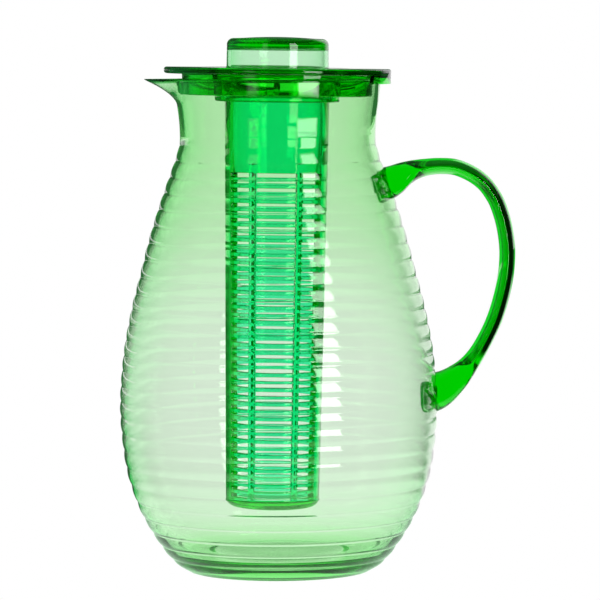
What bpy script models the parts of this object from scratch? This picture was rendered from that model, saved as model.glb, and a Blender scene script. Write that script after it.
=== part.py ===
"""Infuser pitcher: ribbed transparent pitcher with a pulled spout and a bonded bar handle, a plug lid with a hollow
knob, and a slotted infuser tube that hangs from the lid on a bayonet collar.

Frame: metres, +Z up, origin on the table under the middle of the whole outline, +X to the handle, -X to the spout.
The pitcher's turning axis is AXIS_X from the origin, and every profile below is measured from that axis.
Run with: blender --background --python part.py
"""

import math

import bmesh
import bpy
from mathutils import Matrix, Vector

MM = 0.001
GAP = 0.3  # clearance between touching pieces, mm

# ---------------------------------------------------------------- dimensions, mm
AXIS_X = -19.05  # of the pitcher's own axis, so that the bowl and the handle reach equally far from the origin
# Pitcher body
RIM_Z = 240.4  # height of the rim
RIM_R = 50.4  # outer radius of the rim
RIB_DEPTH = 0.6  # from crest to groove
RIB_TOP_Z = 211.6  # where the ribs start, under the smooth neck
RIB_LOW_Z = 2.0  # where the last rib ends, on the heel
BASE_RING_R = 44.5  # outer edge of the flat base ring
BASE_RING_IN_R = 35.0  # inner edge of it
PUSH_UP = 2.4  # rise of the middle of the base
FLOOR_T = 3.0
# (height, outer radius over the rib crests), top to bottom
WALL_STATIONS = (
    (RIM_Z - 1.2, RIM_R),
    (231.0, 49.5),
    (222.0, 48.3),
    (215.0, 47.8),
    (209.0, 48.0),
    (201.0, 50.2),
    (190.0, 54.15),
    (176.0, 59.0),
    (161.0, 63.5),
    (146.0, 67.3),
    (131.0, 71.2),
    (112.0, 75.0),
    (95.0, 77.0),
    (79.0, 77.7),
    (63.0, 76.6),
    (48.0, 74.3),
    (34.0, 69.9),
    (24.0, 65.3),
    (15.0, 59.9),
    (8.0, 54.8),
    (3.5, 50.4),
    (0.0, BASE_RING_R),
)
# (height, distance from rib to rib along the wall), top to bottom
PITCH_STATIONS = (
    (211.0, 7.4),
    (200.0, 8.2),
    (178.0, 8.4),
    (152.0, 8.65),
    (138.0, 8.3),
    (126.0, 7.7),
    (100.0, 7.45),
    (80.0, 7.6),
    (66.0, 8.3),
    (46.0, 9.0),
    (30.0, 8.7),
    (16.0, 7.7),
    (6.0, 8.6),
)
# (height, wall thickness), top to bottom: blown thin where the bowl is wide
THICKNESS_STATIONS = (
    (RIM_Z, 2.3),
    (222.0, 2.4),
    (200.0, 2.3),
    (176.0, 2.0),
    (166.0, 1.8),
    (150.0, 1.4),
    (131.0, 1.05),
    (110.0, 0.85),
    (90.0, 0.75),
    (60.0, 0.78),
    (45.0, 0.9),
    (30.0, 1.05),
    (20.0, 1.3),
    (8.0, 2.2),
)
BODY_SIDES = 36
# Spout: the rim pulled out at -X
SPOUT_REACH = 15.4  # beyond the rim
SPOUT_ROOT_Z = 227.6  # where it leaves the neck
SPOUT_HALF_ANGLE = 21.0  # degrees
# Handle: (x, z) of the centre line, thickness in the XZ plane, width along Y
HANDLE_STATIONS = (
    (48.0, 187.0, 17.5, 22.0),
    (55.5, 190.2, 15.2, 22.0),
    (61.4, 193.6, 11.8, 21.2),
    (66.5, 195.6, 9.8, 20.2),
    (72.7, 197.0, 8.3, 19.2),
    (79.5, 197.5, 7.9, 18.4),
    (87.0, 196.8, 7.9, 18.0),
    (95.2, 193.2, 7.9, 18.0),
    (101.0, 188.6, 7.8, 18.0),
    (104.9, 183.3, 7.8, 18.0),
    (107.4, 178.4, 7.8, 18.0),
    (110.2, 169.4, 7.8, 18.0),
    (111.8, 159.0, 7.8, 18.0),
    (111.8, 150.0, 7.8, 18.0),
    (110.8, 141.6, 7.8, 18.0),
    (108.6, 132.0, 7.8, 18.0),
    (105.7, 122.8, 7.8, 18.0),
    (101.6, 113.8, 7.8, 18.2),
    (96.4, 104.8, 8.4, 18.8),
    (90.6, 97.4, 10.6, 19.8),
    (84.0, 91.4, 14.2, 21.0),
    (77.5, 87.6, 18.0, 22.0),
    (69.0, 85.0, 20.0, 22.0),
)
HANDLE_SIDES = 16
# Its two anchors, which the wall is blown around: (height, tilt of the wall there in degrees, depth under the rib
# crests of the boss's root). Each has a neck and a wider head, in a pocket of the boss inside the wall.
ANCHORS = (
    (189.0, 19.0, 1.7),
    (84.5, 1.5, 1.0),
)
ANCHOR_NECK = (6.5, 9.0, 8.5)  # along the wall's normal, along Y, and upwards
ANCHOR_HEAD = (2.6, 12.0, 12.0)
ANCHOR_DEPTH = 6.6  # of the head's inner face, under the crests
BOSS_WALL = 1.1
# Lid: with the knob and the infuser it leans a little in the mouth, down at the handle side
LEAN = 0.9  # degrees about +Y
LEAN_Z = 242.0  # height of the point that it leans about, on the pitcher's axis
PLATE_R = 55.4
PLATE_TOP_Z = 245.6
PLATE_T = 3.2
PLATE_EDGE_R = 1.3
PLATE_HOLE_R = 22.6
SEAT_R = 53.5  # outer radius of the seat that rests on the rim
SEAT_HALF_ANGLE = 125.0  # degrees each side of the handle; open towards the spout
SKIRT_R = 46.6  # plug skirt
SKIRT_T = 2.0
SKIRT_LOW_Z = 232.3
LIP_R_IN = 53.1
LIP_LOW_Z = 238.5
LIP_HALF_ANGLE = 33.0  # degrees each side of the handle
BOSS_R = 31.2
BOSS_R_IN = 28.6
BOSS_LOW_Z = 232.7
LEDGE_R_IN = 26.5  # bayonet ledges inside the boss
LEDGE_T = 1.8
LEDGE_ANGLE = 62.0
GUSSET_REACH = 2.8  # beyond the boss
GUSSET_W = 2.7
GUSSET_H = 5.6
LID_SIDES = 48
# Knob
KNOB_R = 25.0
KNOB_WALL = 1.8
KNOB_TOP_Z = 260.6
KNOB_DOME = 0.9
KNOB_TOP_T = 4.3
KNOB_SHOULDER = 3.2
# Infuser
FLANGE_R = 30.4
FLANGE_T = 3.2
NECK_R = 26.1
NECK_TOP_Z = 237.2
LUG_R = 28.2
LUG_T = 2.2
LUG_ANGLE = 40.0
TUBE_R_TOP = 25.5
TUBE_R_LOW = 22.8
TUBE_WALL = 3.4
TUBE_LOW_Z = 30.2
TUBE_FLOOR_T = 4.0
TUBE_CORNER = 4.0
TUBE_SIDES = 15
SLOT_ROWS = 44
SLOT_TOP_Z = 194.4  # centre of the first row
SLOT_PITCH = 3.66
SLOT_H = 2.0
# (middle of the column, its width), degrees from the front, -Y, towards the handle
SLOT_COLUMNS = (
    (-46.15, 29.7),
    (0.0, 44.8),
    (46.15, 29.7),
    (133.85, 29.7),
    (180.0, 44.8),
    (226.15, 29.7),
)

# ---------------------------------------------------------------- derived
PLATE_LOW_Z = PLATE_TOP_Z - PLATE_T
SEAT_LOW_Z = RIM_Z + GAP + SEAT_R * math.sin(math.radians(LEAN))  # clears the rim where it leans down
FLANGE_TOP_Z = BOSS_LOW_Z - GAP
FLANGE_LOW_Z = FLANGE_TOP_Z - FLANGE_T
SOCKET_DEPTH = 2.0  # how far the tube goes up into the collar
TUBE_TOP_Z = FLANGE_LOW_Z + SOCKET_DEPTH
NECK_R_IN = TUBE_R_TOP - TUBE_WALL


# ---------------------------------------------------------------- helpers
def smooth_through(stations, step):
    """Points of a Catmull-Rom curve through the stations, about one each step of arc length."""
    pts = [Vector(s) for s in stations]
    ends = [2 * pts[0] - pts[1], *pts, 2 * pts[-1] - pts[-2]]
    out = []
    for a, b, c, d in zip(ends, ends[1:], ends[2:], ends[3:]):
        count = max(1, round((c - b).length / step))
        for i in range(count):
            t = i / count
            out.append(
                0.5
                * (
                    2 * b
                    + (c - a) * t
                    + (2 * a - 5 * b + 4 * c - d) * t * t
                    + (3 * b - 3 * c + d - a) * t * t * t
                )
            )
    out.append(pts[-1])
    return out


def at_height(rows, z):
    """The value at a height, between the rows of (height, value)."""
    if z >= rows[0][0]:
        return rows[0][1]
    for (z1, t1), (z0, t0) in zip(rows, rows[1:]):
        if z >= z0:
            return t0 + (t1 - t0) * (z - z0) / (z1 - z0)
    return rows[-1][1]


def collection(name):
    made = bpy.data.collections.new(name)
    bpy.context.scene.collection.children.link(made)
    return made


def material(name, rgb, roughness=0.05, transmission=1.0, ior=1.53):
    made = bpy.data.materials.new(name)
    made.use_nodes = True
    shader = made.node_tree.nodes["Principled BSDF"]
    shader.inputs["Base Color"].default_value = (*rgb, 1.0)
    shader.inputs["Roughness"].default_value = roughness
    shader.inputs["Metallic"].default_value = 0.0
    shader.inputs["IOR"].default_value = ior
    shader.inputs["Transmission Weight"].default_value = transmission
    made.diffuse_color = (*rgb, 1.0)
    return made


def on_axis(obj):
    """Parents the object to the empty on its own axis: the lid and what hangs from it have the leaning one."""
    upright = obj.name.startswith(("pitcher_body", "handle", "bowl_"))
    obj.parent = bpy.data.objects["pitcher_axis" if upright else "lid_axis"]
    return obj


def add(name, mesh, where, mat=None):
    obj = on_axis(bpy.data.objects.new(name, mesh))
    where.objects.link(obj)
    if mat:
        mesh.materials.append(mat)
    return obj


def helper(obj):
    obj.hide_render = True
    obj.display_type = "WIRE"
    return obj


def turned(name, profile, steps, closed, where, mat=None):
    """A profile of (r, z) in mm, turned round Z. It runs down its outer side."""
    mesh = bpy.data.meshes.new(name)
    points = [(r * MM, 0.0, z * MM) for r, z in profile]
    edges = [(i, i + 1) for i in range(len(points) - 1)]
    if closed:
        edges.append((len(points) - 1, 0))
    mesh.from_pydata(points, edges, [])
    obj = add(name, mesh, where, mat)
    screw = obj.modifiers.new("Screw", "SCREW")
    screw.axis = "Z"
    screw.angle = 2 * math.pi
    screw.steps = screw.render_steps = steps
    screw.use_merge_vertices = True
    screw.merge_threshold = 1e-5
    screw.use_smooth_shade = True
    return obj


def baked(obj):
    """The object's evaluated mesh in place of its own, with no modifiers left."""
    graph = bpy.context.evaluated_depsgraph_get()
    graph.update()
    mesh = bpy.data.meshes.new_from_object(obj.evaluated_get(graph))
    obj.modifiers.clear()
    obj.data = mesh
    return obj


def sector(name, r_in, r_out, middle, width, low_z, high_z, where, step=8.0, more=()):
    """Ring sectors as flat outlines with a thickness. Angles are degrees from +X."""
    curve = bpy.data.curves.new(name, "CURVE")
    curve.dimensions = "2D"
    curve.fill_mode = "BOTH"
    curve.extrude = (high_z - low_z) / 2 * MM
    for mid, wide in ((middle, width), *more):
        count = max(1, round(wide / step))
        angles = [mid - wide / 2 + wide * i / count for i in range(count + 1)]
        outline = [(r_out, a) for a in angles] + [(r_in, a) for a in reversed(angles)]
        spline = curve.splines.new("POLY")
        spline.points.add(len(outline) - 1)
        for point, (r, a) in zip(spline.points, outline):
            a = math.radians(a)
            point.co = (r * math.cos(a) * MM, r * math.sin(a) * MM, 0.0, 1.0)
        spline.use_cyclic_u = True
    source = bpy.data.objects.new(name + "_outline", curve)
    where.objects.link(source)
    graph = bpy.context.evaluated_depsgraph_get()
    graph.update()
    mesh = bpy.data.meshes.new_from_object(source.evaluated_get(graph))
    bpy.data.objects.remove(source)
    weld = bmesh.new()
    weld.from_mesh(mesh)
    bmesh.ops.remove_doubles(weld, verts=weld.verts, dist=1e-6)
    bmesh.ops.recalc_face_normals(weld, faces=weld.faces)
    weld.to_mesh(mesh)
    weld.free()
    obj = add(name, mesh, where)
    obj.location.z = (low_z + high_z) / 2 * MM
    return helper(obj)


def block(name, size, place, turn, where, rounding=0.0):
    """A box of a size in mm, turned and placed from the axis, with its edges rounded."""
    bpy.ops.mesh.primitive_cube_add(size=1.0)
    obj = bpy.context.object
    obj.name = name
    for owner in list(obj.users_collection):
        owner.objects.unlink(obj)
    where.objects.link(obj)
    obj.data.transform(Matrix.Diagonal((*(s * MM for s in size), 1.0)))
    obj.rotation_euler = turn
    obj.location = Vector(place) * MM
    if rounding:
        bevel = obj.modifiers.new("Edges", "BEVEL")
        bevel.width = rounding * MM
        bevel.segments = 2
    return helper(on_axis(obj))


def boolean(obj, other, operation):
    modifier = obj.modifiers.new(other.name, "BOOLEAN")
    modifier.operation = operation
    modifier.solver = "EXACT"
    modifier.object = other
    return modifier


# ---------------------------------------------------------------- pitcher body
def wall_line():
    """The wall's outer line over the rib crests, as (r, z), from under the rim to the base ring."""
    return [Vector((p[1], p[0])) for p in smooth_through([(z, r) for z, r in WALL_STATIONS], 1.0)]


def ribbed_outside():
    """Smooth neck, then a groove between each pair of ribs, with the first two grooves shallower."""
    line = wall_line()
    out = [(RIM_R - 0.7, RIM_Z), (RIM_R, RIM_Z - 0.7)]
    for z, r in WALL_STATIONS[1:5]:
        out.append((r, z))
    along, next_at, crest = 0.0, 0.0, True
    for p, q in zip(line, line[1:]):
        if p.y > RIB_TOP_Z:
            continue
        if p.y < RIB_LOW_Z:
            break
        piece = (q - p).length
        if along + piece >= next_at:
            at = p.lerp(q, (next_at - along) / piece)
            tangent = (q - p).normalized()
            normal = Vector((-tangent.y, tangent.x))
            inset = RIB_DEPTH * min(1.0, 0.3 + along / 20.0) if not crest else 0.0
            spot = at - normal * inset
            out.append((spot.x, spot.y))
            crest = not crest
            next_at += at_height(PITCH_STATIONS, at.y) / 2
        along += piece
    out.append((BASE_RING_R, 0.0))
    return out


def body_profile():
    outside = ribbed_outside()
    line = wall_line()
    inside = []
    heights = (RIM_Z - 1.0, 231.0, 222.0, 213.0, 205.0, 197.0, 185.0, 170.0, 150.0, 130.0, 105.0, 80.0, 60.0, 42.0, 28.0, 17.0, 10.0)
    for z in heights:
        i = min(range(len(line)), key=lambda k: abs(line[k].y - z))
        p, q = line[max(i - 1, 0)], line[min(i + 1, len(line) - 1)]
        tangent = (q - p).normalized()
        normal = Vector((-tangent.y, tangent.x))
        ribs = RIB_DEPTH * 0.5 if z < RIB_TOP_Z - 8.0 else 0.0
        spot = line[i] - normal * (at_height(THICKNESS_STATIONS, z) + ribs)
        inside.append((spot.x, spot.y))
    floor = FLOOR_T + 0.6
    inner = [(0.0, PUSH_UP + FLOOR_T), (22.0, PUSH_UP + FLOOR_T - 0.4), (40.0, floor), (46.5, floor + 1.8)]
    inner += list(reversed(inside))
    inner.append((RIM_R - 2.0, RIM_Z))
    under = [(BASE_RING_IN_R, 0.0), (BASE_RING_IN_R - 2.5, 1.6), (18.0, PUSH_UP - 0.3), (0.0, PUSH_UP)]
    return inner + outside + under


def pull_spout(obj):
    """Pulls the rim and the neck under it out into a pointed spout at -X."""
    for vertex in obj.data.vertices:
        x, y, z = vertex.co / MM
        r = math.hypot(x, y)
        if z < SPOUT_ROOT_Z or r < 40.0:
            continue
        off = abs(math.degrees(math.atan2(y, -x)))
        if off >= SPOUT_HALF_ANGLE:
            continue
        across = (1 - off / SPOUT_HALF_ANGLE) ** 1.5
        up = (z - SPOUT_ROOT_Z) / (RIM_Z - SPOUT_ROOT_Z)
        scale = 1 + SPOUT_REACH * across * up / r
        vertex.co.x *= scale
        vertex.co.y *= scale


# ---------------------------------------------------------------- handle
def anchor_block(name, anchor, size, inner, outer, where, rounding=0.0):
    """A box on the wall's normal at an anchor, between two depths under the rib crests."""
    z, tilt, _ = anchor
    line = wall_line()
    r = min(line, key=lambda p: abs(p.y - z)).x
    turn = math.radians(tilt)
    depth = (inner + outer) / 2
    place = (r - depth * math.cos(turn), 0.0, z - depth * math.sin(turn))
    return block(name, (inner - outer, size[1], size[2]), place, (0.0, -turn, 0.0), where, rounding)


def lofted_handle(where, mat):
    """A loft along the centre line: an oval bar that grows flatter faces in its feet."""
    stations = smooth_through(HANDLE_STATIONS, 6.0)
    shape = bmesh.new()
    rings = []
    for i, s in enumerate(stations):
        before, after = stations[max(i - 1, 0)], stations[min(i + 1, len(stations) - 1)]
        along = Vector((after[0] - before[0], 0.0, after[1] - before[1])).normalized()
        out = Vector((-along.z, 0.0, along.x))
        ring = []
        for k in range(HANDLE_SIDES):
            a = 2 * math.pi * (k + 0.5) / HANDLE_SIDES
            c, d = math.cos(a), math.sin(a)
            power = 1.0 - 0.5 * min(1.0, max(0.0, (s[2] - 9.0) / 2.5))
            u = math.copysign(abs(c) ** power, c) * s[2] / 2
            v = math.copysign(abs(d) ** power, d) * s[3] / 2
            ring.append(shape.verts.new((Vector((s[0], 0.0, s[1])) + out * u + Vector((0.0, v, 0.0))) * MM))
        rings.append(ring)
    for a, b in zip(rings, rings[1:]):
        for k in range(HANDLE_SIDES):
            j = (k + 1) % HANDLE_SIDES
            shape.faces.new((a[k], a[j], b[j], b[k]))
    shape.faces.new(list(reversed(rings[0])))
    shape.faces.new(rings[-1])
    bmesh.ops.recalc_face_normals(shape, faces=shape.faces)
    mesh = bpy.data.meshes.new("handle")
    shape.to_mesh(mesh)
    shape.free()
    mesh.shade_smooth()
    return add("handle", mesh, where, mat)


# ---------------------------------------------------------------- build
def main():
    for obj in list(bpy.data.objects):
        bpy.data.objects.remove(obj, do_unlink=True)
    parts = collection("infuser_pitcher")
    cutters = collection("cutters")
    axis = bpy.data.objects.new("pitcher_axis", None)
    axis.location.x = AXIS_X * MM
    parts.objects.link(axis)
    lean = math.radians(LEAN)
    lid_axis = bpy.data.objects.new("lid_axis", None)
    lid_axis.location = ((AXIS_X - LEAN_Z * math.sin(lean)) * MM, 0.0, LEAN_Z * (1 - math.cos(lean)) * MM)
    lid_axis.rotation_euler.y = lean
    parts.objects.link(lid_axis)

    body_mat = material("clear_green", (0.55, 0.86, 0.54))
    handle_mat = material("solid_green", (0.02, 0.55, 0.03))
    lid_mat = material("lid_green", (0.03, 0.5, 0.03))
    knob_mat = material("knob_green", (0.45, 0.85, 0.5))
    tube_mat = material("infuser_green", (0.04, 0.72, 0.15))

    # Body: turned, then pulled out at the spout.
    body = baked(turned("pitcher_body", body_profile(), BODY_SIDES, False, parts, body_mat))
    pull_spout(body)

    # Handle: its feet are cut to the outside of the ribs.
    handle = lofted_handle(parts, handle_mat)
    inner_solid = [(0.0, RIM_Z)] + [(p.x + GAP, p.y) for p in wall_line()[::4]] + [(BASE_RING_R, -1.0), (0.0, -1.0)]
    bowl = helper(turned("bowl_space", inner_solid, BODY_SIDES, False, cutters))
    boolean(handle, bowl, "DIFFERENCE")

    # Its anchors, and the bosses and pockets that hold them in the wall
    neck, head = ANCHOR_NECK, ANCHOR_HEAD
    head_top = ANCHOR_DEPTH - head[0]
    boss = [length + 2 * (GAP + BOSS_WALL) for length in head]
    for i, anchor in enumerate(ANCHORS):
        boolean(handle, anchor_block(f"handle_anchor_neck_{i}", anchor, neck, head_top + 0.5, -2.5, cutters), "UNION")
        boolean(handle, anchor_block(f"handle_anchor_head_{i}", anchor, head, ANCHOR_DEPTH, head_top, cutters, 0.6), "UNION")
        boolean(body, anchor_block(f"bowl_boss_{i}", anchor, boss, ANCHOR_DEPTH + GAP + BOSS_WALL, anchor[2], cutters, 0.0), "UNION")
        wide = [length + 2 * GAP for length in head]
        boolean(body, anchor_block(f"bowl_pocket_{i}", anchor, wide, ANCHOR_DEPTH + GAP, head_top - GAP, cutters), "DIFFERENCE")
        slim = [length + 2 * GAP for length in neck]
        boolean(body, anchor_block(f"bowl_mouth_{i}", anchor, slim, head_top, -1.5, cutters), "DIFFERENCE")

    # Lid: plate, skirt and boss are one turned profile.
    e = PLATE_EDGE_R
    lid_profile = [
        (PLATE_HOLE_R, PLATE_TOP_Z),
        (PLATE_R - e, PLATE_TOP_Z),
        (PLATE_R - 0.3 * e, PLATE_TOP_Z - 0.3 * e),
        (PLATE_R, PLATE_TOP_Z - e),
        (PLATE_R, PLATE_LOW_Z + e),
        (PLATE_R - 0.3 * e, PLATE_LOW_Z + 0.3 * e),
        (PLATE_R - e, PLATE_LOW_Z),
        (SKIRT_R, PLATE_LOW_Z),
        (SKIRT_R - 0.3, SKIRT_LOW_Z),
        (SKIRT_R - 0.3 - SKIRT_T, SKIRT_LOW_Z),
        (SKIRT_R - SKIRT_T, PLATE_LOW_Z),
        (BOSS_R, PLATE_LOW_Z),
        (BOSS_R, BOSS_LOW_Z),
        (BOSS_R_IN, BOSS_LOW_Z),
        (BOSS_R_IN, PLATE_LOW_Z),
        (PLATE_HOLE_R, PLATE_LOW_Z),
    ]
    lid = turned("lid", lid_profile, LID_SIDES, True, parts, lid_mat)
    seat = sector("seat", SKIRT_R - 1.0, SEAT_R, 0.0, 2 * SEAT_HALF_ANGLE, SEAT_LOW_Z, PLATE_LOW_Z + 0.6, cutters)
    lip = sector("lip", LIP_R_IN, PLATE_R - 0.05, 0.0, 2 * LIP_HALF_ANGLE, LIP_LOW_Z, PLATE_TOP_Z - 1.4, cutters)
    ledges = sector(
        "ledges", LEDGE_R_IN, BOSS_R_IN + 1.0, 0.0, LEDGE_ANGLE, BOSS_LOW_Z + 0.05, BOSS_LOW_Z + LEDGE_T, cutters,
        more=((120.0, LEDGE_ANGLE), (240.0, LEDGE_ANGLE)),
    )
    boolean(lid, seat, "UNION")
    boolean(lid, lip, "UNION")
    boolean(lid, ledges, "UNION")
    for i in range(4):
        a = math.radians(90.0 * i)
        reach = GUSSET_REACH + 1.0
        middle = BOSS_R - 1.0 + reach / 2
        low = PLATE_LOW_Z - GUSSET_H
        high = PLATE_LOW_Z + 0.6
        place = (middle * math.cos(a), middle * math.sin(a), (low + high) / 2)
        boolean(lid, block(f"gusset_{i}", (reach, GUSSET_W, high - low), place, (0.0, 0.0, a), cutters), "UNION")

    # Knob
    s, top = KNOB_SHOULDER, KNOB_TOP_Z - KNOB_DOME
    low = PLATE_TOP_Z + GAP
    knob_profile = [
        (0.0, KNOB_TOP_Z),
        (KNOB_R * 0.5, KNOB_TOP_Z - 0.25 * KNOB_DOME),
        (KNOB_R - 0.2 - s, top),
        (KNOB_R - 0.2 - 0.3 * s, top - 0.3 * s),
        (KNOB_R - 0.2, top - s),
        (KNOB_R, low + 1.2),
        (KNOB_R + 0.3, low),
        (KNOB_R - KNOB_WALL, low),
        (KNOB_R - KNOB_WALL, top - KNOB_TOP_T - 1.2),
        (KNOB_R - KNOB_WALL - 1.2, top - KNOB_TOP_T),
        (0.0, top - KNOB_TOP_T + 0.2),
    ]
    turned("lid_knob", knob_profile, 48, False, parts, knob_mat)

    # Infuser collar: neck, flange and the socket for the tube, with three lugs.
    collar_profile = [
        (NECK_R_IN, NECK_TOP_Z),
        (NECK_R, NECK_TOP_Z),
        (NECK_R, FLANGE_TOP_Z),
        (FLANGE_R - 0.6, FLANGE_TOP_Z),
        (FLANGE_R, FLANGE_TOP_Z - 0.6),
        (FLANGE_R, FLANGE_LOW_Z + 0.6),
        (FLANGE_R - 0.6, FLANGE_LOW_Z),
        (TUBE_R_TOP + GAP, FLANGE_LOW_Z),
        (TUBE_R_TOP + GAP, TUBE_TOP_Z + GAP),
        (NECK_R_IN, TUBE_TOP_Z + GAP),
    ]
    collar = turned("infuser_collar", collar_profile, 48, True, parts, tube_mat)
    lug_low = BOSS_LOW_Z + LEDGE_T + GAP
    lugs = sector(
        "lugs", NECK_R - 1.0, LUG_R, 0.0, LUG_ANGLE, lug_low, lug_low + LUG_T, cutters,
        more=((120.0, LUG_ANGLE), (240.0, LUG_ANGLE)),
    )
    boolean(collar, lugs, "UNION")

    # Infuser tube: turned, with the slots cut by one row of outlines repeated downwards.
    c = TUBE_CORNER

    def tube_r(z):
        t = (z - TUBE_LOW_Z) / (TUBE_TOP_Z - TUBE_LOW_Z)
        return TUBE_R_LOW + (TUBE_R_TOP - TUBE_R_LOW) * t

    floor_z = TUBE_LOW_Z + TUBE_FLOOR_T
    tube_profile = [
        (0.0, floor_z),
        (tube_r(floor_z) - TUBE_WALL - 1.0, floor_z),
        (tube_r(floor_z) - TUBE_WALL, floor_z + 1.0),
        (TUBE_R_TOP - TUBE_WALL, TUBE_TOP_Z),
        (TUBE_R_TOP, TUBE_TOP_Z),
        (tube_r(TUBE_LOW_Z + c), TUBE_LOW_Z + c),
        (TUBE_R_LOW - 0.3 * c, TUBE_LOW_Z + 0.3 * c),
        (TUBE_R_LOW - c, TUBE_LOW_Z),
        (0.0, TUBE_LOW_Z),
    ]
    tube = turned("infuser_tube", tube_profile, TUBE_SIDES, False, parts, tube_mat)
    columns = [(mid - 90.0, width) for mid, width in SLOT_COLUMNS]
    slots = sector(
        "slots", 15.0, 32.0, *columns[0], SLOT_TOP_Z - SLOT_H / 2, SLOT_TOP_Z + SLOT_H / 2, cutters,
        step=60.0, more=columns[1:],
    )
    rows = slots.modifiers.new("Rows", "ARRAY")
    rows.count = SLOT_ROWS
    rows.use_relative_offset = False
    rows.use_constant_offset = True
    rows.constant_offset_displace = (0.0, 0.0, -SLOT_PITCH * MM)
    boolean(tube, slots, "DIFFERENCE")


main()
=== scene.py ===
"""Looks of the infuser pitcher: fine meshes and clear plastic around the fixed frame.

Every piece stands for one CAD node and keeps that node's sizes. Profiles are (r, z) in millimetres from the
pitcher's own axis, which is AXIS_X from the origin; +X is the handle, -X the spout, -Y the camera's side.
"""

import math

import bmesh
import bpy
import numpy as np
from mathutils import Matrix, Vector, noise


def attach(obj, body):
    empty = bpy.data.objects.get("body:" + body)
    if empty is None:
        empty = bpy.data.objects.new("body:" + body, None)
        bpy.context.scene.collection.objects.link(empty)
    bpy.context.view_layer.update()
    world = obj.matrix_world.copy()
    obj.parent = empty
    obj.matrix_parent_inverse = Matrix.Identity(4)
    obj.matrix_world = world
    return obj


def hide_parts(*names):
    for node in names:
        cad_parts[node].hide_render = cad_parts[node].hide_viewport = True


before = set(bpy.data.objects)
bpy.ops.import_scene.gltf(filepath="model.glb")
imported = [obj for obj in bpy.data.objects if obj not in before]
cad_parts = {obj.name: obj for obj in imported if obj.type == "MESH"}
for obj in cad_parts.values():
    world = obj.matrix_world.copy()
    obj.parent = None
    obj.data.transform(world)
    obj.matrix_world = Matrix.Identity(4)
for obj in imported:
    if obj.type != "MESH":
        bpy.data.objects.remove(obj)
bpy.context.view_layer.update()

MM = 0.001
AXIS_X = -0.01905
GAP = 0.3

# ---------------------------------------------------------------- sizes, mm (as in the CAD source)
RIM_Z, RIM_R = 240.4, 50.4
RIB_DEPTH = 0.6
RIB_TOP_Z, RIB_LOW_Z = 211.6, 2.0
BASE_RING_R, BASE_RING_IN_R = 44.5, 35.0
PUSH_UP, FLOOR_T = 2.4, 3.0
WALL_STATIONS = (
    (RIM_Z - 1.2, RIM_R), (231.0, 49.5), (222.0, 48.3), (215.0, 47.8), (209.0, 48.0), (201.0, 50.2),
    (190.0, 54.15), (176.0, 59.0), (161.0, 63.5), (146.0, 67.3), (131.0, 71.2), (112.0, 75.0),
    (95.0, 77.0), (79.0, 77.7), (63.0, 76.6), (48.0, 74.3), (34.0, 69.9), (24.0, 65.3),
    (15.0, 59.9), (8.0, 54.8), (3.5, 50.4), (0.0, BASE_RING_R),
)
PITCH_STATIONS = (
    (211.0, 7.4), (200.0, 8.2), (178.0, 8.4), (152.0, 8.65), (138.0, 8.3), (126.0, 7.7), (100.0, 7.45),
    (80.0, 7.6), (66.0, 8.3), (46.0, 9.0), (30.0, 8.7), (16.0, 7.7), (6.0, 8.6),
)
THICKNESS_STATIONS = (
    (RIM_Z, 2.3), (222.0, 2.4), (200.0, 2.3), (176.0, 2.0), (166.0, 1.8), (150.0, 1.4), (131.0, 1.05),
    (110.0, 0.85), (90.0, 0.75), (60.0, 0.78), (45.0, 0.9), (30.0, 1.05), (20.0, 1.3), (8.0, 2.2),
)
SPOUT_REACH, SPOUT_ROOT_Z, SPOUT_HALF_ANGLE = 15.4, 227.6, 21.0
HANDLE_STATIONS = (
    (48.0, 187.0, 17.5, 22.0), (55.5, 190.2, 15.2, 22.0), (61.4, 193.6, 11.8, 21.2), (66.5, 195.6, 9.8, 20.2),
    (72.7, 197.0, 8.3, 19.2), (79.5, 197.5, 7.9, 18.4), (87.0, 196.8, 7.9, 18.0), (95.2, 193.2, 7.9, 18.0),
    (101.0, 188.6, 7.8, 18.0), (104.9, 183.3, 7.8, 18.0), (107.4, 178.4, 7.8, 18.0), (110.2, 169.4, 7.8, 18.0),
    (111.8, 159.0, 7.8, 18.0), (111.8, 150.0, 7.8, 18.0), (110.8, 141.6, 7.8, 18.0), (108.6, 132.0, 7.8, 18.0),
    (105.7, 122.8, 7.8, 18.0), (101.6, 113.8, 7.8, 18.2), (96.4, 104.8, 8.4, 18.8), (90.6, 97.4, 10.6, 19.8),
    (84.0, 91.4, 14.2, 21.0), (77.5, 87.6, 18.0, 22.0), (69.0, 85.0, 20.0, 22.0),
)
ANCHORS = ((189.0, 19.0, 1.7), (84.5, 1.5, 1.0))
ANCHOR_NECK, ANCHOR_HEAD, ANCHOR_DEPTH, BOSS_WALL = (6.5, 9.0, 8.5), (2.6, 12.0, 12.0), 6.6, 1.1
LEAN, LEAN_Z = 0.9, 242.0
PLATE_R, PLATE_TOP_Z, PLATE_T, PLATE_EDGE_R, PLATE_HOLE_R = 55.4, 245.6, 3.2, 1.3, 22.6
SEAT_R, SEAT_HALF_ANGLE = 53.5, 125.0
SKIRT_R, SKIRT_T, SKIRT_LOW_Z = 46.6, 2.0, 232.3
LIP_R_IN, LIP_LOW_Z, LIP_HALF_ANGLE = 53.1, 238.5, 33.0
BOSS_R, BOSS_R_IN, BOSS_LOW_Z = 31.2, 28.6, 232.7
LEDGE_R_IN, LEDGE_T, LEDGE_ANGLE = 26.5, 1.8, 62.0
GUSSET_REACH, GUSSET_W, GUSSET_H = 2.8, 2.7, 5.6
KNOB_R, KNOB_WALL, KNOB_TOP_Z, KNOB_DOME, KNOB_TOP_T, KNOB_SHOULDER = 25.0, 1.8, 260.6, 0.9, 4.3, 3.2
FLANGE_R, FLANGE_T, NECK_R, NECK_TOP_Z = 30.4, 3.2, 26.1, 237.2
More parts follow.
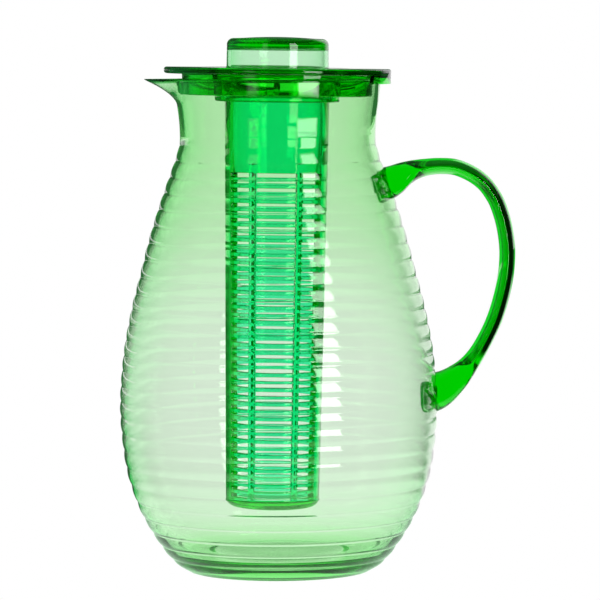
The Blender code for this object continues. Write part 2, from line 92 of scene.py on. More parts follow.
LUG_R, LUG_T, LUG_ANGLE = 28.2, 2.2, 40.0
TUBE_R_TOP, TUBE_R_LOW, TUBE_WALL, TUBE_LOW_Z, TUBE_FLOOR_T, TUBE_CORNER = 25.5, 22.8, 3.4, 30.2, 4.0, 4.0
SLOT_ROWS, SLOT_TOP_Z, SLOT_PITCH, SLOT_H = 44, 194.4, 3.66, 2.0
SLOT_COLUMNS = ((-46.15, 29.7), (0.0, 44.8), (46.15, 29.7), (133.85, 29.7), (180.0, 44.8), (226.15, 29.7))

PLATE_LOW_Z = PLATE_TOP_Z - PLATE_T
SEAT_LOW_Z = RIM_Z + GAP + SEAT_R * math.sin(math.radians(LEAN))
FLANGE_TOP_Z = BOSS_LOW_Z - GAP
FLANGE_LOW_Z = FLANGE_TOP_Z - FLANGE_T
TUBE_TOP_Z = FLANGE_LOW_Z + 2.0
NECK_R_IN = TUBE_R_TOP - TUBE_WALL

# ---------------------------------------------------------------- looks
RIB_SHARPNESS = 2.0  # 1 for a zigzag, more for wider ribs and narrower grooves
INNER_FOLLOW = 1.0  # how much of the ribs shows on the inside of the blown wall
# Light taken up by the plastic, per metre of it: red, green, blue
BODY_TAKES = (130.0, 13.0, 143.0)
HANDLE_TAKES = (700.0, 20.0, 420.0)
LID_TAKES = (800.0, 23.0, 760.0)
KNOB_TAKES = (145.0, 2.0, 118.0)
TUBE_TAKES = (680.0, 6.0, 156.0)
PLASTIC_IOR = 1.56


# ---------------------------------------------------------------- mesh helpers
def smooth_through(stations, step):
    """Points of a Catmull-Rom curve through the stations, about one each step of arc length."""
    pts = [Vector(s) for s in stations]
    ends = [2 * pts[0] - pts[1], *pts, 2 * pts[-1] - pts[-2]]
    out = []
    for a, b, c, d in zip(ends, ends[1:], ends[2:], ends[3:]):
        count = max(1, round((c - b).length / step))
        for i in range(count):
            t = i / count
            out.append(
                0.5
                * (
                    2 * b
                    + (c - a) * t
                    + (2 * a - 5 * b + 4 * c - d) * t * t
                    + (3 * b - 3 * c + d - a) * t * t * t
                )
            )
    out.append(pts[-1])
    return out


def fillet(points, radii, step=12.0):
    """The closed or open outline with its corners rounded. radii has one value a point, 0 for a sharp one."""
    n = len(points)
    out = []
    for i, (p, radius) in enumerate(zip(points, radii)):
        p = Vector(p)
        if radius <= 0:
            out.append(tuple(p))
            continue
        a = (Vector(points[(i - 1) % n]) - p)
        b = (Vector(points[(i + 1) % n]) - p)
        reach_a, reach_b = a.length, b.length
        a.normalize()
        b.normalize()
        half = math.acos(max(-1.0, min(1.0, a.dot(b)))) / 2
        if half > math.radians(88):
            out.append(tuple(p))
            continue
        cut = min(radius / math.tan(half), 0.49 * reach_a, 0.49 * reach_b)
        radius = cut * math.tan(half)
        centre = p + (a + b).normalized() * (radius / math.sin(half))
        start, end = p + a * cut - centre, p + b * cut - centre
        turn = math.atan2(start.x * end.y - start.y * end.x, start.dot(end))
        count = max(2, round(abs(math.degrees(turn)) / step))
        for k in range(count + 1):
            c, s = math.cos(turn * k / count), math.sin(turn * k / count)
            out.append((centre.x + start.x * c - start.y * s, centre.y + start.x * s + start.y * c))
    return out


def mesh_object(name, verts, faces):
    mesh = bpy.data.meshes.new(name)
    mesh.from_pydata(verts, [], faces)
    mesh.update()
    obj = bpy.data.objects.new(name, mesh)
    bpy.context.scene.collection.objects.link(obj)
    return obj


def finish_mesh(obj, sharp=35.0):
    """Normals out, smooth shading, and sharp edges where the surface turns by more than sharp degrees."""
    work = bmesh.new()
    work.from_mesh(obj.data)
    bmesh.ops.remove_doubles(work, verts=work.verts, dist=1e-7)
    bmesh.ops.recalc_face_normals(work, faces=work.faces)
    work.to_mesh(obj.data)
    work.free()
    obj.data.shade_smooth()
    obj.data.set_sharp_from_angle(angle=math.radians(sharp))
    return obj


def turned(name, profile, sides, closed, shape=None):
    """The profile of (r, z) turned round the axis. shape(x, y, z), all in mm from the axis, moves a point."""
    verts, rings = [], []
    for r, z in profile:
        if r < 1e-6:
            rings.append([len(verts)] * sides)
            verts.append((0.0, 0.0, z))
        else:
            rings.append(list(range(len(verts), len(verts) + sides)))
            for k in range(sides):
                a = 2 * math.pi * k / sides
                verts.append((r * math.cos(a), r * math.sin(a), z))
    if shape:
        verts = [shape(*v) for v in verts]
    verts = [(x * MM + AXIS_X, y * MM, z * MM) for x, y, z in verts]
    faces = []
    pairs = list(zip(rings, rings[1:]))
    if closed:
        pairs.append((rings[-1], rings[0]))
    for a, b in pairs:
        for k in range(sides):
            j = (k + 1) % sides
            face = [a[k], a[j], b[j], b[k]]
            face = [v for i, v in enumerate(face) if v != face[i - 1]]
            if len(face) > 2:
                faces.append(face)
    return mesh_object(name, verts, faces)


def sector(name, r_in, r_out, middle, width, low_z, high_z, step=1.875):
    """A closed ring sector, angles in degrees from +X."""
    count = max(1, round(width / step))
    verts = []
    for z in (low_z, high_z):
        for r in (r_out, r_in):
            for i in range(count + 1):
                a = math.radians(middle - width / 2 + width * i / count)
                verts.append((r * math.cos(a) * MM + AXIS_X, r * math.sin(a) * MM, z * MM))
    m = count + 1
    faces = []
    for i in range(count):
        lo_out, lo_in, hi_out, hi_in = i, m + i, 2 * m + i, 3 * m + i
        faces.append([lo_out, lo_out + 1, hi_out + 1, hi_out])
        faces.append([lo_in + 1, lo_in, hi_in, hi_in + 1])
        faces.append([lo_in, lo_in + 1, lo_out + 1, lo_out])
        faces.append([hi_out, hi_out + 1, hi_in + 1, hi_in])
    faces.append([0, 2 * m, 3 * m, m])
    faces.append([count, m + count, 3 * m + count, 2 * m + count])
    return finish_mesh(mesh_object(name, verts, faces))


def block(name, size, centre, turn):
    """A closed box of a size in mm, centred at a place in mm from the axis and turned about Z."""
    work = bmesh.new()
    bmesh.ops.create_cube(work, size=1.0)
    bmesh.ops.scale(work, vec=Vector(size) * MM, verts=work.verts)
    bmesh.ops.rotate(work, cent=(0, 0, 0), matrix=Matrix.Rotation(turn, 3, "Z"), verts=work.verts)
    bmesh.ops.translate(work, vec=Vector(centre) * MM + Vector((AXIS_X, 0, 0)), verts=work.verts)
    mesh = bpy.data.meshes.new(name)
    work.to_mesh(mesh)
    work.free()
    obj = bpy.data.objects.new(name, mesh)
    bpy.context.scene.collection.objects.link(obj)
    return obj


def combined(obj, others, operation):
    """The object after a Boolean with each of the others, which are removed."""
    for other in others:
        modifier = obj.modifiers.new("cut", "BOOLEAN")
        modifier.operation = operation
        modifier.solver = "EXACT"
        modifier.object = other
    return applied(obj, others)


def applied(obj, others=()):
    graph = bpy.context.evaluated_depsgraph_get()
    graph.update()
    mesh = bpy.data.meshes.new_from_object(obj.evaluated_get(graph))
    obj.modifiers.clear()
    obj.data = mesh
    for other in others:
        bpy.data.objects.remove(other)
    return obj


def rounded(obj, width, segments=2, angle=40.0):
    """Rounds the object's sharp edges for good."""
    bevel = obj.modifiers.new("edges", "BEVEL")
    bevel.width = width * MM
    bevel.segments = segments
    bevel.limit_method = "ANGLE"
    bevel.angle_limit = math.radians(angle)
    bevel.use_clamp_overlap = True
    bevel.harden_normals = False
    return applied(obj)


# ---------------------------------------------------------------- the bowl
def at_height(rows, z):
    """The value at a height, between the rows of (height, value)."""
    if z >= rows[0][0]:
        return rows[0][1]
    for (z1, t1), (z0, t0) in zip(rows, rows[1:]):
        if z >= z0:
            return t0 + (t1 - t0) * (z - z0) / (z1 - z0)
    return rows[-1][1]


def wall_line(step=0.45):
    return [Vector((p[1], p[0])) for p in smooth_through([(z, r) for z, r in WALL_STATIONS], step)]


def wall_surfaces():
    """(outer, inner) lines of the wall as (r, z), from the rim's side down to the heel."""
    line = wall_line()
    outer, inner = [], []
    along, turns = 0.0, 0.0  # along the wall in mm, and in ribs
    for i, p in enumerate(line):
        a, b = line[max(i - 1, 0)], line[min(i + 1, len(line) - 1)]
        tangent = (b - a).normalized()
        normal = Vector((-tangent.y, tangent.x))
        if p.y <= RIB_TOP_Z and i:
            step = (p - line[i - 1]).length
            along += step
            turns += step / at_height(PITCH_STATIONS, p.y)
        # Wide round ribs with narrow grooves between them
        in_groove = 1 - abs(2 * (turns % 1.0) - 1)
        fade = min(1.0, 0.3 + along / 20.0) if along else 0.0
        low_fade = max(0.0, min(1.0, (p.y - RIB_LOW_Z) / 3.0))
        inset = RIB_DEPTH * fade * low_fade * in_groove ** RIB_SHARPNESS
        spot = p - normal * inset
        outer.append((spot.x, spot.y))
        if p.y > 9.0:
            flat = RIB_DEPTH * 0.5 * fade
            deep = at_height(THICKNESS_STATIONS, p.y) + flat + INNER_FOLLOW * (inset - flat)
            spot = p - normal * deep
            inner.append((spot.x, spot.y))
    return outer, inner


def pulled(x, y, z):
    """The rim and the neck under it are pulled out into a pointed spout at -X."""
    r = math.hypot(x, y)
    if z < SPOUT_ROOT_Z or r < 40.0:
        return x, y, z
    off = abs(math.degrees(math.atan2(y, -x)))
    if off >= SPOUT_HALF_ANGLE:
        return x, y, z
    across = (1 - (off / SPOUT_HALF_ANGLE) ** 1.1) ** 1.6
    up = ((z - SPOUT_ROOT_Z) / (RIM_Z - SPOUT_ROOT_Z)) ** 1.85
    scale = 1 + SPOUT_REACH * across * up / r
    return x * scale, y * scale, z


def make_body():
    outer, inner = wall_surfaces()
    floor = FLOOR_T + 0.6
    top_r_in = inner[0][0]
    rim = [
        (top_r_in, RIM_Z - 1.1), (top_r_in + 0.12, RIM_Z - 0.6), (top_r_in + 0.42, RIM_Z - 0.2),
        (top_r_in + 0.85, RIM_Z), (RIM_R - 0.85, RIM_Z), (RIM_R - 0.42, RIM_Z - 0.2), (RIM_R - 0.12, RIM_Z - 0.6),
    ]
    low = smooth_through(
        [(0.0, PUSH_UP + FLOOR_T), (12.0, PUSH_UP + FLOOR_T - 0.1), (22.0, PUSH_UP + FLOOR_T - 0.4),
         (40.0, floor), (46.5, floor + 1.8), inner[-1]], 1.5)
    inside = [tuple(p) for p in low[:-1]] + list(reversed(inner))
    under = fillet(
        [outer[-1], (BASE_RING_IN_R, 0.0), (BASE_RING_IN_R - 2.5, 1.6), (18.0, PUSH_UP - 0.3), (0.0, PUSH_UP)],
        [0, 2.0, 2.0, 0, 0])[1:]
    profile = inside + rim + outer + under
    obj = finish_mesh(turned("pitcher_shell", profile, 240, False, pulled), 50.0)

    # Bosses on the inside of the wall, with the pockets that hold the handle's anchors
    head_top = ANCHOR_DEPTH - ANCHOR_HEAD[0]
    bosses, pockets = [], []
    for i, anchor in enumerate(ANCHORS):
        grown = [length + 2 * (GAP + BOSS_WALL) for length in ANCHOR_HEAD]
        bosses.append(anchor_block(f"boss_{i}", anchor, grown, ANCHOR_DEPTH + GAP + BOSS_WALL, anchor[2], 0.35, 9.0 + i, 2.0))
        wide = [length + 2 * GAP for length in ANCHOR_HEAD]
        pockets.append(anchor_block(f"pocket_{i}", anchor, wide, ANCHOR_DEPTH + GAP, head_top - GAP, 0.3, 5.0 + i))
        slim = [length + 2 * GAP for length in ANCHOR_NECK]
        pockets.append(anchor_block(f"mouth_{i}", anchor, slim, head_top, -1.5, 0.25, 2.0 + i))
    combined(obj, bosses, "UNION")
    combined(obj, pockets, "DIFFERENCE")
    return finish_mesh(obj, 50.0)


# ---------------------------------------------------------------- the handle
def anchor_block(name, anchor, size, inner, outer, crinkle, seed, width=1.2):
    """A box on the wall's normal at an anchor, between two depths under the rib crests, with rounded edges and the
    crinkled faces of plastic that set against plastic. The crinkles go inwards only."""
    z, tilt, _ = anchor
    r = min(wall_line(), key=lambda p: abs(p.y - z)).x
    size = (inner - outer, size[1], size[2])
    work = bmesh.new()
    bmesh.ops.create_cube(work, size=1.0)
    bmesh.ops.scale(work, vec=Vector(size), verts=work.verts)
    bmesh.ops.bevel(work, geom=list(work.edges), offset=min(0.45 * size[0], width), segments=2, affect="EDGES", profile=0.5)
    bmesh.ops.subdivide_edges(work, edges=[e for e in work.edges if e.calc_length() > 2.0], cuts=9, use_grid_fill=True)
    bmesh.ops.triangulate(work, faces=[f for f in work.faces if len(f.verts) > 4])
    for v in work.verts:
        spot = v.co * 0.42 + Vector((seed, 3.1 * seed, 0.0))
        push = noise.noise(spot) * 0.6 + noise.noise(spot * 2.3) * 0.4
        v.co -= v.co.normalized() * crinkle * (0.5 + push)
    turn = math.radians(tilt)
    depth = (inner + outer) / 2
    place = Vector((r - depth * math.cos(turn), 0.0, z - depth * math.sin(turn)))
    bmesh.ops.transform(work, matrix=Matrix.Translation(place) @ Matrix.Rotation(-turn, 4, "Y"), verts=work.verts)
    for v in work.verts:
        v.co = v.co * MM + Vector((AXIS_X, 0, 0))
    bmesh.ops.recalc_face_normals(work, faces=work.faces)
    mesh = bpy.data.meshes.new(name)
    work.to_mesh(mesh)
    work.free()
    obj = bpy.data.objects.new(name, mesh)
    bpy.context.scene.collection.objects.link(obj)
    return obj


def make_handle():
    stations = smooth_through(HANDLE_STATIONS, 1.6)
    sides = 88
    verts, faces = [], []
    for i, s in enumerate(stations):
        before, after = stations[max(i - 1, 0)], stations[min(i + 1, len(stations) - 1)]
        along = Vector((after[0] - before[0], 0.0, after[1] - before[1])).normalized()
        out = Vector((-along.z, 0.0, along.x))
        for k in range(sides):
            a = 2 * math.pi * k / sides
            a += 0.22 * math.sin(2 * a)  # more points round the narrow front and back
            c, d = math.cos(a), math.sin(a)
            power = 1.2 - 0.7 * min(1.0, max(0.0, (s[2] - 8.6) / 3.0))  # keen oval bar, flatter faces on the feet
            u = math.copysign(abs(c) ** power, c) * s[2] / 2
            v = math.copysign(abs(d) ** power, d) * s[3] / 2
            p = (Vector((s[0], 0.0, s[1])) + out * u + Vector((0.0, v, 0.0))) * MM
            verts.append((p.x + AXIS_X, p.y, p.z))
    n = len(stations)
    for i in range(n - 1):
        for k in range(sides):
            j = (k + 1) % sides
            faces.append([i * sides + k, i * sides + j, (i + 1) * sides + j, (i + 1) * sides + k])
    faces.append([k for k in range(sides)][::-1])
    faces.append([(n - 1) * sides + k for k in range(sides)])
    handle = finish_mesh(mesh_object("handle_bar", verts, faces), 60.0)

    # What the ribbed wall takes up of the feet: a wedge of the bowl, a hair larger than the wall.
    outer, _ = wall_surfaces()
    edge = [(r + 0.12, z) for r, z in outer if 60.0 < z < 215.0]
    steps = 36
    cut_verts, cut_faces = [], []
    for i in range(steps + 1):
        a = math.radians(-24 + 48 * i / steps)
        for r, z in edge:
            cut_verts.append((r * math.cos(a) * MM + AXIS_X, r * math.sin(a) * MM, z * MM))
        for z in (edge[-1][1], edge[0][1]):
            cut_verts.append((15.0 * math.cos(a) * MM + AXIS_X, 15.0 * math.sin(a) * MM, z * MM))
    m = len(edge) + 2
    for i in range(steps):
        for k in range(m):
            j = (k + 1) % m
            cut_faces.append([i * m + k, i * m + j, (i + 1) * m + j, (i + 1) * m + k])
    cut_faces.append([k for k in range(m)])
    cut_faces.append([steps * m + k for k in range(m)][::-1])
    wedge = finish_mesh(mesh_object("bowl_wedge", cut_verts, cut_faces))
    combined(handle, [wedge], "DIFFERENCE")
    head_top = ANCHOR_DEPTH - ANCHOR_HEAD[0]
    anchors = []
    for i, anchor in enumerate(ANCHORS):
        anchors.append(anchor_block(f"anchor_neck_{i}", anchor, ANCHOR_NECK, head_top + 0.6, -2.5, 0.25, 2.0 + i))
        anchors.append(anchor_block(f"anchor_head_{i}", anchor, ANCHOR_HEAD, ANCHOR_DEPTH, head_top, 0.3, 5.0 + i))
    combined(handle, anchors, "UNION")
    return finish_mesh(handle, 40.0)


# ---------------------------------------------------------------- lid and knob
def make_lid():
    e = PLATE_EDGE_R
    points = [
        (PLATE_HOLE_R, PLATE_TOP_Z), (PLATE_R, PLATE_TOP_Z), (PLATE_R, PLATE_LOW_Z), (SKIRT_R, PLATE_LOW_Z),
        (SKIRT_R - 0.3, SKIRT_LOW_Z), (SKIRT_R - 0.3 - SKIRT_T, SKIRT_LOW_Z), (SKIRT_R - SKIRT_T, PLATE_LOW_Z),
        (BOSS_R, PLATE_LOW_Z), (BOSS_R, BOSS_LOW_Z), (BOSS_R_IN, BOSS_LOW_Z), (BOSS_R_IN, PLATE_LOW_Z),
        (PLATE_HOLE_R, PLATE_LOW_Z),
    ]
    radii = [0.5, e, e, 0.6, 0.7, 0.7, 0.6, 0.6, 0.5, 0.5, 0.5, 0.5]
    lid = finish_mesh(turned("lid_moulding", fillet(points, radii, 22.0), 192, True))
    seat = sector("seat", SKIRT_R - 1.0, SEAT_R, 0.0, 2 * SEAT_HALF_ANGLE, SEAT_LOW_Z, PLATE_LOW_Z + 0.6)
    for v in seat.data.vertices:
        if v.co.z < (SEAT_LOW_Z + 0.1) * MM:  # its underside stays level on the rim while the lid leans
            v.co.z += (v.co.x - AXIS_X - SEAT_R * MM) * math.sin(math.radians(LEAN))
    others = [
        seat,
        sector("lip", LIP_R_IN, PLATE_R - 0.05, 0.0, 2 * LIP_HALF_ANGLE, LIP_LOW_Z, PLATE_TOP_Z - 1.4),
    ]
    for turn in (0.0, 120.0, 240.0):
        others.append(
            sector(f"ledge_{turn:.0f}", LEDGE_R_IN, BOSS_R_IN + 1.0, turn, LEDGE_ANGLE, BOSS_LOW_Z + 0.05, BOSS_LOW_Z + LEDGE_T)
        )
    reach = GUSSET_REACH + 1.0
    for i in range(4):
        a = math.radians(90.0 * i)
        middle = BOSS_R - 1.0 + reach / 2
        others.append(
            block(
                f"gusset_{i}", (reach, GUSSET_W, GUSSET_H + 0.6),
                (middle * math.cos(a), middle * math.sin(a), PLATE_LOW_Z + 0.6 - (GUSSET_H + 0.6) / 2), a,
            )
        )
    combined(lid, others, "UNION")
    return finish_mesh(lid, 35.0)


def make_knob():
    s, top = KNOB_SHOULDER, KNOB_TOP_Z - KNOB_DOME
    low = PLATE_TOP_Z + 0.05  # bonded to the plate
    dome = [(KNOB_R * 0.68 * t, KNOB_TOP_Z - KNOB_DOME * 0.7 * t * t) for t in (0.0, 0.2, 0.4, 0.6, 0.8, 1.0)]
    points = dome + [
        (KNOB_R - 0.2, top), (KNOB_R, low + 0.4), (KNOB_R + 0.3, low), (KNOB_R - KNOB_WALL, low),
        (KNOB_R - KNOB_WALL, top - KNOB_TOP_T), (0.0, top - KNOB_TOP_T + 0.2),
    ]
    radii = [0] * len(dome) + [s, 0.1, 0.1, 0.1, 1.6, 0]
    return finish_mesh(turned("knob_shell", fillet(points, radii, 9.0), 192, False), 40.0)


# ---------------------------------------------------------------- infuser
def make_collar():
    points = [
        (NECK_R_IN, NECK_TOP_Z), (NECK_R, NECK_TOP_Z), (NECK_R, FLANGE_TOP_Z), (FLANGE_R, FLANGE_TOP_Z),
        (FLANGE_R, FLANGE_LOW_Z), (TUBE_R_TOP + GAP, FLANGE_LOW_Z), (TUBE_R_TOP + GAP, TUBE_TOP_Z + GAP),
        (NECK_R_IN, TUBE_TOP_Z + GAP),
    ]
    radii = [0.5, 0.5, 0.4, 0.8, 0.8, 0.3, 0.2, 0.3]
    collar = finish_mesh(turned("collar_ring", fillet(points, radii, 18.0), 192, True))
    low = BOSS_LOW_Z + LEDGE_T + GAP
    lugs = [
        sector(f"lug_{turn:.0f}", NECK_R - 1.0, LUG_R, turn, LUG_ANGLE, low, low + LUG_T) for turn in (0.0, 120.0, 240.0)
    ]
    combined(collar, lugs, "UNION")
    return finish_mesh(collar, 35.0)


def make_tube():
    """The tube as an outer and an inner skin, with the slots left open between them."""

    def tube_r(z):
        t = (z - TUBE_LOW_Z) / (TUBE_TOP_Z - TUBE_LOW_Z)
        return TUBE_R_LOW + (TUBE_R_TOP - TUBE_R_LOW) * t

    # Degrees from the front, about 2 apart, with one on every slot end. Each end is (outside, inside): the mould
    # leaves the ends of the slots parallel to Y, so an end lies further round on the inside.
    ends = [(0.0, 0.0), (22.4, 26.3), (31.3, 37.2), (61.0, 61.6), (90.0, 90.0)]
    ends += [(180.0 - a, 180.0 - b) for a, b in reversed(ends[:-1])]
    ends += [(360.0 - a, 360.0 - b) for a, b in reversed(ends[:-1])]
    outside, inside = [], []
    for (a, b), (a_next, b_next) in zip(ends, ends[1:]):
        count = round((a_next - a) / 2.0)
        outside += [a + (a_next - a) * i / count for i in range(count)]
        inside += [b + (b_next - b) * i / count for i in range(count)]
    sides = len(outside)
    open_columns = []
    for a, a_next in zip(outside, outside[1:] + [360.0]):
        middle = (a + a_next) / 2
        open_columns.append(any((middle - mid + width / 2) % 360.0 < width for mid, width in SLOT_COLUMNS))
    floor_z = TUBE_LOW_Z + TUBE_FLOOR_T
    levels = []  # (outer z, inner z, open above this level)
    for i in range(SLOT_ROWS):
        z = SLOT_TOP_Z - (SLOT_ROWS - 1 - i) * SLOT_PITCH
        levels.append((z - SLOT_H / 2, True))
        levels.append((z + SLOT_H / 2, False))
    c = TUBE_CORNER
    bottom = fillet([(0.0, TUBE_LOW_Z), (TUBE_R_LOW, TUBE_LOW_Z), (tube_r(TUBE_LOW_Z + 8), TUBE_LOW_Z + 8)], [0, c, 0], 9.0)[:-1]
    inner_low = fillet(
        [(0.0, floor_z), (tube_r(floor_z) - TUBE_WALL, floor_z), (tube_r(floor_z + 6) - TUBE_WALL, floor_z + 6)], [0, 1.5, 0], 15.0)[:-1]
    top = fillet(
        [(TUBE_R_TOP - 0.08, TUBE_TOP_Z - 3), (TUBE_R_TOP, TUBE_TOP_Z), (TUBE_R_TOP - TUBE_WALL, TUBE_TOP_Z), (TUBE_R_TOP - TUBE_WALL - 0.08, TUBE_TOP_Z - 3)],
        [0, 0.6, 0.6, 0], 22.0)[1:-1]
    verts, faces = [], []

    def ring(r, z, angles=outside):
        if r < 1e-6:
            verts.append((AXIS_X, 0.0, z * MM))
            return [len(verts) - 1] * sides
        start = len(verts)
        for a in angles:
            a = math.radians(a)
            verts.append((r * math.sin(a) * MM + AXIS_X, -r * math.cos(a) * MM, z * MM))
        return list(range(start, start + sides))

    def band(a, b, skip=None):
        for k in range(sides):
            if skip and skip[k]:
                continue
            j = (k + 1) % sides
            face = [a[k], a[j], b[j], b[k]]
            face = [v for i, v in enumerate(face) if v != face[i - 1]]
            if len(face) > 2:
                faces.append(face)

    outer = [ring(*p) for p in bottom]
    for a, b in zip(outer, outer[1:]):
        band(a, b)
    inner = [ring(*p, inside) for p in inner_low]
    for a, b in zip(inner, inner[1:]):
        band(b, a)
    last_out, last_in = outer[-1], inner[-1]
    was_open = False
    for z, opens in levels:
        now_out, now_in = ring(tube_r(z), z), ring(tube_r(z) - TUBE_WALL, z, inside)
        band(last_out, now_out, open_columns if was_open else None)
        band(now_in, last_in, open_columns if was_open else None)
        if was_open:
            for k in range(sides):
                if not open_columns[k]:
                    continue
                j = (k + 1) % sides
                faces.append([last_out[k], last_out[j], last_in[j], last_in[k]])
                faces.append([now_in[k], now_in[j], now_out[j], now_out[k]])
                if not open_columns[k - 1]:
                    faces.append([last_out[k], last_in[k], now_in[k], now_out[k]])
                if not open_columns[j]:
                    faces.append([last_in[j], last_out[j], now_out[j], now_in[j]])
        last_out, last_in, was_open = now_out, now_in, opens
    tops = [ring(*p, inside if p[0] < TUBE_R_TOP - TUBE_WALL / 2 else outside) for p in top]
    band(last_out, tops[0])
    for a, b in zip(tops, tops[1:]):
        band(a, b)
    band(tops[-1], last_in)
    tube = finish_mesh(mesh_object("infuser_sleeve", verts, faces), 40.0)
    tube = rounded(tube, 0.22, 2, 50.0)
    return finish_mesh(tube, 50.0)


# ---------------------------------------------------------------- materials
def clear_plastic(name, takes, roughness, ripple, ripple_size, painted_shade=()):
    """Clear coloured plastic: the colour comes from how far light goes through it. The surface has the soft ripple
    and the slightly uneven polish of moulded plastic. The last argument has rows of (direction, from, over how many mm,
    tint): past that place the base colour is painted darker with the tint, as painted shade."""
    mat = bpy.data.materials.new(name)
    mat.use_nodes = True
    tree = mat.node_tree
    nodes, links = tree.nodes, tree.links
    shader = nodes["Principled BSDF"]
    out = nodes["Material Output"]
    shader.inputs["Metallic"].default_value = 0.0
    shader.inputs["IOR"].default_value = PLASTIC_IOR
    shader.inputs["Transmission Weight"].default_value = 1.0
    shader.inputs["Specular IOR Level"].default_value = 0.5
    where = nodes.new("ShaderNodeTexCoord")

    flow = nodes.new("ShaderNodeTexNoise")
    flow.inputs["Scale"].default_value = 1.0 / (ripple_size * MM)
    flow.inputs["Detail"].default_value = 2.0
    flow.inputs["Roughness"].default_value = 0.4
    links.new(where.outputs["Object"], flow.inputs["Vector"])

    polish = nodes.new("ShaderNodeTexNoise")
    polish.inputs["Scale"].default_value = 90.0
    polish.inputs["Detail"].default_value = 4.0
    links.new(where.outputs["Object"], polish.inputs["Vector"])
    spread = nodes.new("ShaderNodeMapRange")
    spread.inputs["From Min"].default_value = 0.35
    spread.inputs["From Max"].default_value = 0.75
    spread.inputs["To Min"].default_value = roughness
    spread.inputs["To Max"].default_value = roughness * 2.2 + 0.004
    links.new(polish.outputs["Fac"], spread.inputs["Value"])
    links.new(spread.outputs["Result"], shader.inputs["Roughness"])

    tone = nodes.new("ShaderNodeMix")
    tone.data_type = "RGBA"
    ends = [s for s in tone.inputs if s.type == "RGBA"]
    ends[0].default_value = (1.0, 1.0, 1.0, 1.0)
    ends[1].default_value = (0.975, 0.99, 0.975, 1.0)
    links.new(flow.outputs["Fac"], tone.inputs["Factor"])
    colour = next(s for s in tone.outputs if s.type == "RGBA")
    # Painted shade: past each plane the base colour is painted darker with the tint.
    for along, start, over, tint in painted_shade:
        reach = nodes.new("ShaderNodeVectorMath")
        reach.operation = "DOT_PRODUCT"
        links.new(where.outputs["Object"], reach.inputs[0])
        reach.inputs[1].default_value = along
        above = nodes.new("ShaderNodeMapRange")
        above.interpolation_type = "SMOOTHSTEP"
        above.inputs["From Min"].default_value = start * MM
        above.inputs["From Max"].default_value = (start + over) * MM
        links.new(reach.outputs["Value"], above.inputs["Value"])
        tinted = nodes.new("ShaderNodeMix")
        tinted.data_type = "RGBA"
        ends = [s for s in tinted.inputs if s.type == "RGBA"]
        ends[1].default_value = (*tint, 1.0)
        links.new(colour, ends[0])
        links.new(above.outputs["Result"], tinted.inputs["Factor"])
        colour = next(s for s in tinted.outputs if s.type == "RGBA")
    links.new(colour, shader.inputs["Base Color"])

    bump = nodes.new("ShaderNodeBump")
    bump.inputs["Strength"].default_value = 1.0
    bump.inputs["Distance"].default_value = ripple * MM
    links.new(flow.outputs["Fac"], bump.inputs["Height"])
    links.new(bump.outputs["Normal"], shader.inputs["Normal"])

    density = max(takes) * 1.02
    body = nodes.new("ShaderNodeVolumeAbsorption")
    body.inputs["Color"].default_value = (*(1 - t / density for t in takes), 1.0)
    body.inputs["Density"].default_value = density
    links.new(body.outputs["Volume"], out.inputs["Volume"])
    return mat


def leaning(obj):
    """The lid, the knob and the infuser lean together in the mouth."""
    centre = Vector((AXIS_X, 0.0, LEAN_Z * MM))
    turn = Matrix.Rotation(math.radians(LEAN), 4, "Y")
    obj.data.transform(Matrix.Translation(centre) @ turn @ Matrix.Translation(-centre))
    return obj


def dress(obj, mat, body, node):
    obj.data.materials.clear()
    obj.data.materials.append(mat)
    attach(obj, body)
    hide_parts(node)
    return obj


# The top of the rim is painted darker: painted shade.
body_mat = clear_plastic("body_clear", BODY_TAKES, 0.0, 0.05, 30.0, [((0, 0, 1), 238.5, 0.4, (0.15, 0.52, 0.18))])
# The anchors inside the line of the wall are the crinkled part of the handle; their base colour is painted darker, as
# painted shade.
handle_mat = clear_plastic("handle_clear", HANDLE_TAKES, 0.0, 0.03, 18.0, [((-1, 0, -0.221), -76.9, 0.8, (0.12, 0.42, 0.14))])
lid_mat = clear_plastic("lid_clear", LID_TAKES, 0.0, 0.02, 16.0)
# The knob's top is painted darker: painted shade.
knob_mat = clear_plastic("knob_clear", KNOB_TAKES, 0.0, 0.02, 16.0, [((0, 0, 1), 255.3, 0.6, (0.3, 0.47, 0.3))])
tube_mat = clear_plastic("infuser_clear", TUBE_TAKES, 0.0, 0.02, 18.0)

dress(make_body(), body_mat, "pitcher", "pitcher_body")
dress(make_handle(), handle_mat, "pitcher", "handle")
dress(leaning(make_lid()), lid_mat, "lid", "lid")
dress(leaning(make_knob()), knob_mat, "lid", "lid_knob")
dress(leaning(make_collar()), tube_mat, "infuser", "infuser_collar")
dress(leaning(make_tube()), tube_mat, "infuser", "infuser_tube")


# ---------------------------------------------------------------- stage
scene = bpy.context.scene
scene.view_settings.view_transform = "Standard"
scene.view_settings.look = "None"
scene.cycles.max_bounces = 72
scene.cycles.transmission_bounces = 72
scene.cycles.glossy_bounces = 72  # light runs a long way inside the walls
scene.cycles.transparent_max_bounces = 40

# The room is a ring of white panels with dark strips between them, as (first, last) degrees of each panel, round from
# straight behind the object (+Y) towards the handle's side (+X), and the softness of its two edges.
PANELS = (
    (-54.0, 24.0, 3.0, 4.0),
    (38.0, 54.0, 3.0, 3.0),
    (80.0, 100.0, 3.0, 3.0),
    (124.0, 236.0, 6.0, 6.0),
    (-100.0, -80.0, 3.0, 3.0),
)
PANEL_TOP = 34.0  # how high they reach, degrees
STRIP = (0.15, 0.4, 0.18)  # what comes from between them: light that the plastic has tinted
HIGH_LIGHT = (0.05, 0.4, 0.06)  # what comes from over them
ROOF_LIGHT = 0.25
